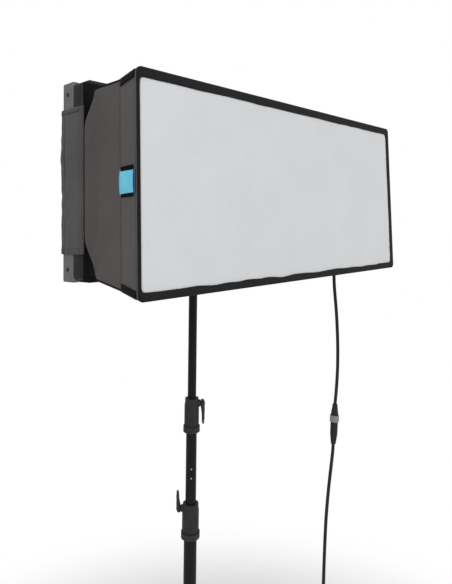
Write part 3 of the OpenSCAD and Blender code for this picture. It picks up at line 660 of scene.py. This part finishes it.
# a piece of the softbox: cloth or tape of an even thickness that rides on the head
def addFabric(name, bm, material, thick, offset=-1.0, replaces=()):
    piece = finishPiece(name, bm, material, "head", headPlace, replaces=replaces)
    wall = piece.modifiers.new("wall", "SOLIDIFY")
    wall.thickness = thick
    wall.offset = offset
    return piece


# towards the middle from the top, right, bottom and left sides
inward = [Vector((0, 0, -1)), Vector((-1, 0, 0)), Vector((0, 0, 1)), Vector((1, 0, 0))]

skin = {"thick": 0.0014, "rows": 22, "sag": 0.003, "wrinkle": 0.0017, "pull": 0.0016, "rays": 10,
        "rayReach": 0.12, "rearShare": 0.34, "standOut": 0.0085, "cutBack": 0.0175, "cutFrom": 0.092,
        "cutOver": 0.066, "edgeCut": 0.026, "edgeOver": 0.08}


# the skin pulls in between its seams in soft folds, stands out round the lamp's ends, and is cut back
# in a curve at its rear corners
def skinShape(spot, side, t, v):
    hold = math.sin(math.pi * t) ** 0.6 if 0 < t < 1 else 0.0
    depth = math.sin(math.pi * v) ** 0.7 if 0 < v < 1 else 0.0
    folds = noise.noise(Vector((spot.x * 7, spot.y * 17, spot.z * 9)) + Vector((3.1, 0.4, 7.7)))
    ripples = noise.noise(Vector((spot.x * 24 + spot.y * 30, spot.y * 22, spot.z * 27)))
    rise = abs(spot.z + bag["rear"][3])
    low = Vector((rise - bag["rear"][2], spot.y - bag["rear"][0]))
    rays = 0.0
    if side % 2:
        fan = math.sin(skin["rays"] * math.atan2(low.y, low.x - 0.02))
        rays = max(0.0, 1 - low.length / skin["rayReach"]) * fan
    sag = skin["sag"] * hold + (1.6 * folds + 0.6 * ripples) * skin["wrinkle"] * min(1, hold * 1.6)
    out = inward[side] * (sag + skin["pull"] * rays * min(1, hold * 2.5)) * depth
    start = 1 - easeOf(v / skin["rearShare"])
    if side % 2:
        away = easeOf((rise - skin["cutFrom"]) / skin["cutOver"])
        out -= inward[side] * skin["standOut"] * (1 - away) * start
        out.y -= (skin["standOut"] + skin["cutBack"] * away) * start
    else:
        out.y -= skin["edgeCut"] * (1 - easeOf((bag["rear"][1] - abs(spot.x)) / skin["edgeOver"])) * start
    return out


# how far forward of the rear and how far out each row lies, then the flange on the lamp's front
hem = {"thick": 0.0008, "clear": 0.0095,
       "rows": [(0.0006, -0.0012), (0.002, -0.0016), (0.009, -0.0017), (0.018, -0.0017),
                (0.0275, -0.0017), (0.036, -0.0017)],
       "flangeWide": 0.0075, "flangeHigh": 0.0145, "flangeDrop": 0.002}


# the tape behind the skin keeps clear of its folds
def hemShape(spot, side, t, v):
    return inward[side] * hem["clear"] * (math.sin(math.pi * t) ** 0.6 if 0 < t < 1 else 0.0) * v


def makeSkin():
    rear, deep = bag["rear"][0], bag["rim"][0] - bag["rear"][0]
    rings = [wallAt(rear + deep * k / skin["rows"]) for k in range(skin["rows"] + 1)]
    addFabric("bagSkin", rolledSheet(rings, skinShape), finishes["bag_fabric"], skin["thick"],
              replaces=("panel_top", "panel_bottom", "panel_left", "panel_right"))
    # black tape behind the skin's rear edge, partly a real binding and partly painted shade in the gap between
    # skin and lamp
    rings = [wallAt(rear - forward, out) for forward, out in hem["rows"]]
    y, wide, high, drop, shift, corner = rings[0]
    rings.insert(0, (y, wide + hem["flangeWide"], high + hem["flangeHigh"], hem["flangeDrop"], shift,
                     corner))
    addFabric("rearHem", rolledSheet(rings, hemShape), blackTape, hem["thick"])


band = {"behind": 0.0015, "front": -0.2975, "thick": 0.0022, "ripple": 0.0008,
        "outs": (0.0, 0.0009, 0.0012, 0.0012, 0.0012, 0.0012, 0.0012, 0.0012, 0.0010, 0.0006)}
# depth of each row and how far out it lies
binding = {"thick": 0.001, "rows": [(-0.2972, 0.0002), (-0.2974, 0.0014), (-0.3000, 0.0017),
                                    (-0.3024, 0.0014), (-0.3034, 0.0004), (-0.3038, -0.0012)]}
piping = {"y": -0.2968, "out": 0.0010, "radius": 0.0011}
# widths, the wave of the inner edge on the top, right, bottom and left, then each row's depth, share of
# the widths and corner radius
border = {"top": 0.0150, "bottom": 0.0125, "left": 0.0012, "right": 0.0130, "front": -0.304,
          "thick": 0.0007, "wave": (0.0016, 0.0012, 0.0034, 0.0), "waveFrom": 0.6,
          "rows": [(-0.3036, 0.0, 0.008), (-0.3044, 0.12, 0.008), (-0.3043, 0.5, 0.008),
                   (-0.3042, 0.96, 0.009), (-0.3036, 1.0, 0.009), (-0.3022, 1.01, 0.009)]}


def bandShape(spot, side, t, v):
    ripple = noise.noise(Vector((spot.x * 14, spot.y * 30, spot.z * 20)))
    return inward[side] * band["ripple"] * ripple * math.sin(math.pi * v)


def borderRing(y, share, corner):
    _, wide, high, drop, _, _ = wallAt(border["front"])
    left, right, top, bottom = (border[key] * share for key in ("left", "right", "top", "bottom"))
    return (y, wide - (left + right) / 2, high - (top + bottom) / 2, drop + (top - bottom) / 2,
            (left - right) / 2, corner)


def wavyEdge(spot, side, t, v):
    if v < border["waveFrom"] or not 0 < t < 1:
        return Vector((0, 0, 0))
    size = border["wave"][side] * math.sin(math.pi * t) ** 0.4
    return inward[side] * size * noise.noise(Vector((spot.x * 24, 2.3, spot.z * 24)))


def makeBand():
    start = bag["rim"][0] + band["behind"]
    deep, last = band["front"] - start, len(band["outs"]) - 1
    rings = [wallAt(start + deep * k / last, out) for k, out in enumerate(band["outs"])]
    addFabric("rimBand", rolledSheet(rings, bandShape), bandFabric, band["thick"])
    # dark binding round the front edge, its darkness partly painted shade, with a fine raised cord behind it whose
    # paler colour is partly a painted highlight
    rings = [wallAt(y, out) for y, out in binding["rows"]]
    addFabric("frontBinding", rolledSheet(rings), shadedBindingTape, binding["thick"])
    y, wide, high, drop, _, corner = wallAt(piping["y"], piping["out"])
    line = []
    for i in range(2 * sum(columns)):
        x, z, _, _ = rectangleSpot(i, wide, high, corner)
        line.append(Vector((x, y, z - drop)))
    finishPiece("frontPiping", tubeAlong(line, piping["radius"], closed=True, resolution=2), pipingHighlightTape,
                "head", headPlace)
    # flat border round the diffuser, widest above, with a slightly wavy inner edge; its near-black is partly
    # painted shade on the front-facing trim
    rings = [borderRing(*row) for row in border["rows"]]
    addFabric("frontBorder", rolledSheet(rings, wavyEdge), shadedBorderTape, border["thick"], 0.0)


# the share of a corner's radius by which the middle of its curve lies inside the square corner
cornerCut = 0.29
seam = {"back": -0.163, "deep": 0.1325, "parts": 14, "out": 0.0004, "radius": 0.0015}
# pitch, length and half thickness of a stitch
stitch = {"rows": (-0.2475, -0.2935), "out": 0.0013, "size": (0.0055, 0.0036, 0.0004),
          "high": 0.97, "wide": 0.985}
patch = {"y": -0.270, "deep": 0.046, "high": 0.013, "out": 0.0016, "thick": 0.0009}


def makeSeams():
    corners = [(sx, sz) for sx in (-1, 1) for sz in (-1, 1)]
    bm = bmesh.new()
    for sx, sz in corners:
        line = []
        for k in range(seam["parts"] + 1):
            y, wide, high, drop, _, corner = wallAt(seam["back"] - seam["deep"] * k / seam["parts"],
                                                    seam["out"])
            cut = corner * cornerCut
            line.append(Vector((sx * (wide - cut), y, sz * (high - cut) - drop)))
        joinInto(bm, tubeAlong(line, seam["radius"], resolution=2))
    finishPiece("cornerSeams", bm, blackTape, "head", headPlace)
    # stitch rows round the rim band, on the two long and two short sides
    bm = bmesh.new()
    for y in stitch["rows"]:
        _, w, h, d, _, _ = wallAt(y, stitch["out"])
        for s in (-1, 1):
            up, along = h * stitch["high"], w * stitch["wide"]
            addStitches(bm, [(s * w, y, -up - d), (s * w, y, up - d)], *stitch["size"])
            addStitches(bm, [(-along, y, s * h - d), (along, y, s * h - d)], *stitch["size"])
    finishPiece("bagStitches", bm, darkStitch, "head", headPlace)
    # reinforcing patches at the band's corners, flat on its slanted sides
    bm = bmesh.new()
    for sx, sz in corners:
        grid = bmesh.ops.create_grid(bm, x_segments=8, y_segments=4, size=0.5)
        for vert in grid["verts"]:
            y = patch["y"] + vert.co.x * patch["deep"]
            _, wide, high, drop, _, corner = wallAt(y, patch["out"])
            down = (0.5 - vert.co.y) * patch["high"]
            tuck = patch["out"] if down < 0.001 else 0.0
            vert.co = Vector((sx * (wide - tuck), y, sz * (high - corner * 0.3 - down) - drop))
    bmesh.ops.recalc_face_normals(bm, faces=bm.faces)
    for face in [f for f in bm.faces if f.normal.x * f.calc_center_median().x < 0]:
        face.normal_flip()
    addFabric("cornerPatches", bm, blackTape, patch["thick"], 1.0)


diffuser = {"sideGap": 0.0012, "topGap": 0.0035, "y": -0.3022, "crown": 0.0012, "pull": 0.0006,
            "fold": 0.0005, "foldReach": 0.22, "thick": 0.0006}


# white cloth over the front, pulled tight with faint folds at one lower corner
def makeDiffuser():
    wide = 2 * (bag["front"][1] - diffuser["sideGap"])
    high = 2 * (bag["front"][2] - diffuser["topGap"])
    bm = bmesh.new()
    bmesh.ops.create_grid(bm, x_segments=120, y_segments=54, size=0.5)
    layFlat(bm, lambda co: (co.x * wide, co.y * high))
    for vert in bm.verts:
        u, v = vert.co.x, vert.co.y
        x, z = u * wide, v * high
        hold = (1 - (2 * abs(u)) ** 6) * (1 - (2 * abs(v)) ** 6)
        pull = diffuser["pull"] * noise.noise(Vector((x * 5 + z * 7, 1.7, z * 12 - x * 3)))
        corner = max(0, 1 - math.hypot(u - 0.5, v + 0.5) / diffuser["foldReach"])
        fold = corner * math.sin((x - z) * 260) * diffuser["fold"]
        vert.co = Vector((x, diffuser["y"] - (diffuser["crown"] + pull) * hold - fold,
                          z - bag["front"][3]))
    faceOutward(bm, lambda f: -f.normal.y)
    cloth = addFabric("diffuser", bm, finishes["diffuser_cloth"], diffuser["thick"],
                      replaces=("front_cloth",))


makeSkin()
makeBand()
makeSeams()
makeDiffuser()
print("softbox fabric made")


# end flaps: the skin carried over the lamp's ends and round onto its back

# stitchSize is the pitch, length and half thickness of a stitch
flap = {"half": 0.128, "thick": 0.0014, "hem": 0.009, "hemLift": 0.0004, "hemThick": 0.0008,
        "fold": 0.0022, "held": 0.01, "stitchIn": 0.0065, "stitchLift": 0.0011,
        "stitchSize": (0.005, 0.0034, 0.00045),
        "path": [(-0.3972, -0.1372), (-0.3996, -0.1362), (-0.4016, -0.1340), (-0.4018, -0.129),
                 (-0.4016, -0.118), (-0.4015, -0.105), (-0.4014, -0.090), (-0.4013, -0.0785),
                 (-0.4004, -0.0750), (-0.3975, -0.0737), (-0.386, -0.0736), (-0.360, -0.0736),
                 (-0.3265, -0.0737)]}


def makeFlap(side):
    line = smoothLine([(x, y, 0) for x, y in flap["path"]], 0.0016)
    runs = [0.0]
    for p, q in zip(line, line[1:]):
        runs.append(runs[-1] + (q - p).length)
    out = [Vector(((q - p).y, -(q - p).x, 0)).normalized() for p, q in zip(line, line[1:])]
    out.append(out[-1])
    out = [a if a.x < 0 or a.y > 0 else -a for a in out]
    rows, last = 64, len(line) - 1

    def spotAt(i, share, lift):
        z = share * flap["half"]
        hold = 1 - abs(share) ** 4
        folds = noise.noise(Vector((runs[i] * 9, z * 24, 4.2)))
        folds += 0.6 * noise.noise(Vector((runs[i] * 16, z * 60, 9)))
        if runs[i] > flap["held"]:
            lift += flap["fold"] * hold * (0.5 + folds)
        return line[i] + Vector((0, 0, z)) + out[i] * lift

    bm = bmesh.new()
    bmesh.ops.create_grid(bm, x_segments=last, y_segments=rows, size=0.5)
    layFlat(bm, lambda co: (runs[round((co.x + 0.5) * last)], co.y * 2 * flap["half"]))
    for vert in bm.verts:
        vert.co = spotAt(round((vert.co.x + 0.5) * last), vert.co.y * 2, 0.0)
    mirrored = Matrix.Diagonal((-side, 1, 1, 1))
    bm.transform(mirrored)
    faceOutward(bm, lambda f: f.normal.x * side)
    word = "Right" if side > 0 else "Left"
    piece = addFabric("endFlap" + word, bm, flapCloth, flap["thick"], 1.0)
    # turned hems above and below, with their stitches
    hems, threads = bmesh.new(), bmesh.new()
    lift = flap["thick"] + flap["hemLift"]
    for edge in (-1, 1):
        strip = bmesh.new()
        inner = edge * (1 - flap["hem"] / flap["half"])
        first = [strip.verts.new(spotAt(i, edge, lift) - Vector((0, 0, edge * 0.0002)))
                 for i in range(len(line))]
        second = [strip.verts.new(spotAt(i, inner, lift)) for i in range(len(line))]
        edges = [strip.edges.new(pair) for row in (first, second) for pair in zip(row, row[1:])]
        bmesh.ops.bridge_loops(strip, edges=edges)
        layFlat(strip, lambda co: (co.y, co.z))
        joinInto(hems, strip)
        thread = edge * (1 - flap["stitchIn"] / flap["half"])
        addStitches(threads, [spotAt(i, thread, flap["thick"] + flap["stitchLift"])
                              for i in range(len(line))], *flap["stitchSize"])
    for part in (hems, threads):
        part.transform(mirrored)
        bmesh.ops.recalc_face_normals(part, faces=part.faces)
    faceOutward(hems, lambda f: f.normal.x * side)
    addFabric("flapHem" + word, hems, hemCloth, flap["hemThick"], 0.0)
    finishPiece("flapStitches" + word, threads, paleStitch, "head", headPlace)
    return piece


for side in (-1, 1):
    made = makeFlap(side)
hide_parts("end_flaps")
print("end flaps made")


# pull tabs: a folded webbing loop between two slots in the rim band, on a navy plate that paints the shade on the
# loop's front edge

tab = {"front": -0.288, "deep": 0.043, "high": 0.036, "thick": 0.0034, "z": -0.012, "lift": 0.0016,
       "out": 0.0006, "slotHigh": 0.0084, "slotGap": 0.0012, "slotThick": 0.0014, "shadeFront": 0.0055,
       "shadeRear": 0.006, "shadeThick": 0.003, "stitchIn": 0.004, "stitchSize": (0.0036, 0.0025, 0.0004)}


# a point on the rim band's side, along its depth and up from the tab's middle
def tabSpot(side, y, z, out):
    _, wide, _, _, _, _ = wallAt(y, band["outs"][4] + out)
    return Vector((side * wide, y, tab["z"] + z))


# a plate bent to the band's slanted side, humped between its ends
def addTabPlate(bm, side, low, high, bottom, top, out, hump, thick):
    grid = bmesh.ops.create_grid(bm, x_segments=10, y_segments=12, size=0.5)
    verts = grid["verts"]
    for vert in verts:
        u, v = vert.co.x + 0.5, vert.co.y * 2
        lift = out + hump * (1 - v ** 4) + 0.0004 * math.sin(math.pi * u)
        vert.co = tabSpot(side, low + (high - low) * u, bottom + (top - bottom) * (v + 1) / 2, lift)
    faces = list({f for v in verts for f in v.link_faces})
    made = bmesh.ops.solidify(bm, geom=faces, thickness=thick)
    found = {v for v in made["geom"] if isinstance(v, bmesh.types.BMVert)} | set(verts)
    every = list({f for v in found for f in v.link_faces})
    bmesh.ops.recalc_face_normals(bm, faces=every)
    rims = [e for e in {e for v in found for e in v.link_edges} if e.calc_face_angle(0.0) > 1.0]
    bmesh.ops.bevel(bm, geom=rims, offset=min(thick, 0.0026) * 0.35, segments=2, profile=0.5, affect="EDGES",
                    material=-1, clamp_overlap=True)


def makeTabs():
    bm, slots, shadeBacks, threads = bmesh.new(), bmesh.new(), bmesh.new(), bmesh.new()
    low, high, half = tab["front"], tab["front"] + tab["deep"], tab["high"] / 2
    inner, slot = half - 0.0005, tab["slotHigh"] / 2
    for side in (-1, 1):
        addTabPlate(bm, side, low, high, -half, half, tab["out"], tab["lift"], tab["thick"])
        # navy plate under the loop, showing past its edge as painted shade
        addTabPlate(shadeBacks, side, low - tab["shadeFront"], low + tab["shadeRear"], -inner, inner, 0.0004,
                    0.0008, tab["shadeThick"])
        for z in (half + tab["slotGap"], -half - tab["slotGap"]):
            addTabPlate(slots, side, low - 0.001, high - 0.003, z - slot, z + slot, 0.0012, 0.0,
                        tab["slotThick"])
        for y in (low + tab["stitchIn"], high - tab["stitchIn"]):
            out = tab["out"] + tab["thick"] + tab["lift"] * 0.93 + 0.0002
            addStitches(threads, [tabSpot(side, y, z, out) for z in (-half * 0.45, 0, half * 0.45)],
                        *tab["stitchSize"])
    blueThread = hardFinish("blueThread", (0.05, 0.3, 0.6), (0.09, 0.4, 0.75), 0.7, 3000, 0.0001)
    for part in (bm, shadeBacks, slots):
        layFlat(part, lambda co: (co.y, co.z))
    addSolid("pullTabs", bm, "blue_webbing", replaces=("pull_tabs",))
    finishPiece("tabShadeBacks", shadeBacks, shadeNavyWebbing, "head", headPlace)
    finishPiece("tabSlots", slots, blackTape, "head", headPlace)
    finishPiece("tabStitches", threads, blueThread, "head", headPlace)


makeTabs()
print("pull tabs made")


# end caps of the lamp: a grey rear moulding, its pale tone partly its own colour and partly painted light, against
# a black front one that is partly painted shade in front of the cap, with a parting line and screws

cap = {"end": 0.400, "wide": 0.016, "split": -0.108, "back": -0.074, "front": -0.1335, "high": 0.177,
       "gap": 0.0004, "under": 0.0008, "overlap": 0.006, "step": 0.0045, "round": 0.0035,
       "frontRound": 0.008, "screwY": -0.091, "screwHigh": 0.155,
       "screw": [(0, 0.0006), (0.0014, 0.0006), (0.0016, 0.0013), (0.0031, 0.0011), (0.0038, 0.0)]}


def makeCaps():
    for side, node in ((-1, "end_cap_left"), (1, "end_cap_right")):
        rear, dark, screws = bmesh.new(), bmesh.new(), bmesh.new()
        inner, high = side * (cap["end"] - cap["wide"]), cap["high"] - cap["step"]
        a, b = sorted((inner, side * cap["end"]))
        addBox(rear, (a, cap["split"] + cap["gap"], -cap["high"]), (b, cap["back"], cap["high"]),
               cap["round"], 4)
        a, b = sorted((inner, side * (cap["end"] - cap["under"])))
        addBox(dark, (a, cap["front"], -high), (b, cap["split"] + cap["overlap"], high),
               cap["frontRound"], 5)
        word = "Right" if side > 0 else "Left"
        # the rear moulding's grey is partly painted light
        addSolid("endCap" + word, rear, "grey_plastic", replaces=(node,))
        # the front moulding's black is partly painted shade
        addSolid("endCapShadedFront" + word, dark, "black_plastic")
        for z in (-cap["screwHigh"], cap["screwHigh"]):
            spot = (Matrix.Translation((side * (cap["end"] - 0.0001), cap["screwY"], z))
                    @ Matrix.Rotation(side * math.pi / 2, 4, "Y"))
            addTurned(screws, cap["screw"], spot, 20)
        addSolid("endCapScrews" + word, screws, "black_steel")


makeCaps()
print("end caps made")


# clamp levers: a moulded arm that swells at its pivot and thins to a lip, on a steel screw
clamp = {"screwHigh": 0.065, "screwRadius": 0.003, "step": 0.006, "gap": 0.0053,
         "lower": {"outer": 0.030, "inner": 0.025, "z": 0.698, "azimuth": 133, "turn": 160},
         "upper": {"outer": 0.025, "inner": 0.020, "z": 0.941, "azimuth": -47, "turn": 8}}
clamp["ribs"] = (-0.030, -0.0345, -0.039)
clamp["screw"] = [(0, 0.0002), (0.0014, 0.0002), (0.0016, 0.0018), (0.0036, 0.0016), (0.0044, 0.0004),
                  (0.0045, -0.001)]
# height on the arm, distance out, half thickness, half width
clamp["rows"] = [(0.0086, 0.0040, 0.0016, 0.0040), (0.0078, 0.0042, 0.0034, 0.0062),
                 (0.0045, 0.0044, 0.0048, 0.0082), (0.000, 0.0046, 0.0052, 0.0088),
                 (-0.008, 0.0052, 0.0050, 0.0084), (-0.018, 0.0060, 0.0042, 0.0074),
                 (-0.028, 0.0062, 0.0034, 0.0064), (-0.037, 0.0056, 0.0028, 0.0058),
                 (-0.044, 0.0056, 0.0028, 0.0060), (-0.0485, 0.0066, 0.0024, 0.0060),
                 (-0.0500, 0.0072, 0.0012, 0.0046)]


def makeClampLevers():
    for word in ("lower", "upper"):
        row = clamp[word]
        start = row["outer"] / 2 + clamp["step"] / 2 + clamp["gap"]
        place = (standPlace @ Matrix.Translation((0, 0, row["z"] + clamp["screwHigh"]))
                 @ Matrix.Rotation(math.radians(row["azimuth"]), 4, "Z"))
        arm = bmesh.new()
        loops = []
        for z, out, thick, wide in clamp["rows"]:
            ends = z in (clamp["rows"][0][0], clamp["rows"][-1][0])
            ring = bmesh.ops.create_circle(arm, cap_ends=ends, segments=20, radius=1)
            for vert in ring["verts"]:
                a, b = vert.co.x, vert.co.y
                squared = 1 / max(abs(a), abs(b)) ** 0.45
                vert.co = Vector((start + out + a * squared * thick, b * squared * wide, z))
            loops.append(list({e for v in ring["verts"] for e in v.link_edges}))
        for first, second in zip(loops, loops[1:]):
            bmesh.ops.bridge_loops(arm, edges=first + second)
        # three ribs on the outer face
        for z in clamp["ribs"]:
            addRod(arm, (start + 0.0088, -0.0042, z), (start + 0.0088, 0.0042, z), 0.0009, 10, 0.0003)
        bmesh.ops.recalc_face_normals(arm, faces=arm.faces)
        turned = Matrix.Rotation(math.radians(row["turn"]), 4, "X")
        piece = addSolid(word + "LeverArm", arm, "dark_casting", word + "_clamp", place @ turned,
                         (word + "_lever",))
        smooth = piece.modifiers.new("smooth", "SUBSURF")
        smooth.levels = smooth.render_levels = 1
        screw = bmesh.new()
        addRod(screw, (row["inner"] / 2 + 0.0005, 0, 0), (start + 0.002, 0, 0), clamp["screwRadius"],
               20, 0.0003)
        hexPlace = Matrix.Translation((start + 0.0086, 0, 0)) @ Matrix.Rotation(math.pi / 2, 4, "Y")
        addTurned(screw, clamp["screw"], hexPlace, 24)
        addSolid(word + "LeverScrew", screw, "black_steel", word + "_clamp", place)


makeClampLevers()


# small rivets that hold the liner in the middle tube
rivet = {"heights": (0.857, 0.836), "azimuth": -132, "out": 0.0124,
         "outline": [(0, 0.0009), (0.0009, 0.0007), (0.0017, 0.0001), (0.0018, -0.0004)]}


def makeRivets():
    bm = bmesh.new()
    for z in rivet["heights"]:
        place = (standPlace @ Matrix.Translation((0, 0, z))
                 @ Matrix.Rotation(math.radians(rivet["azimuth"]), 4, "Z")
                 @ Matrix.Translation((rivet["out"], 0, 0)) @ Matrix.Rotation(math.pi / 2, 4, "Y"))
        addTurned(bm, rivet["outline"], place, 16)
    addSolid("tubeRivets", bm, "zinc_steel", "mid", None)


makeRivets()
print("stand details made")

print("pieces placed")
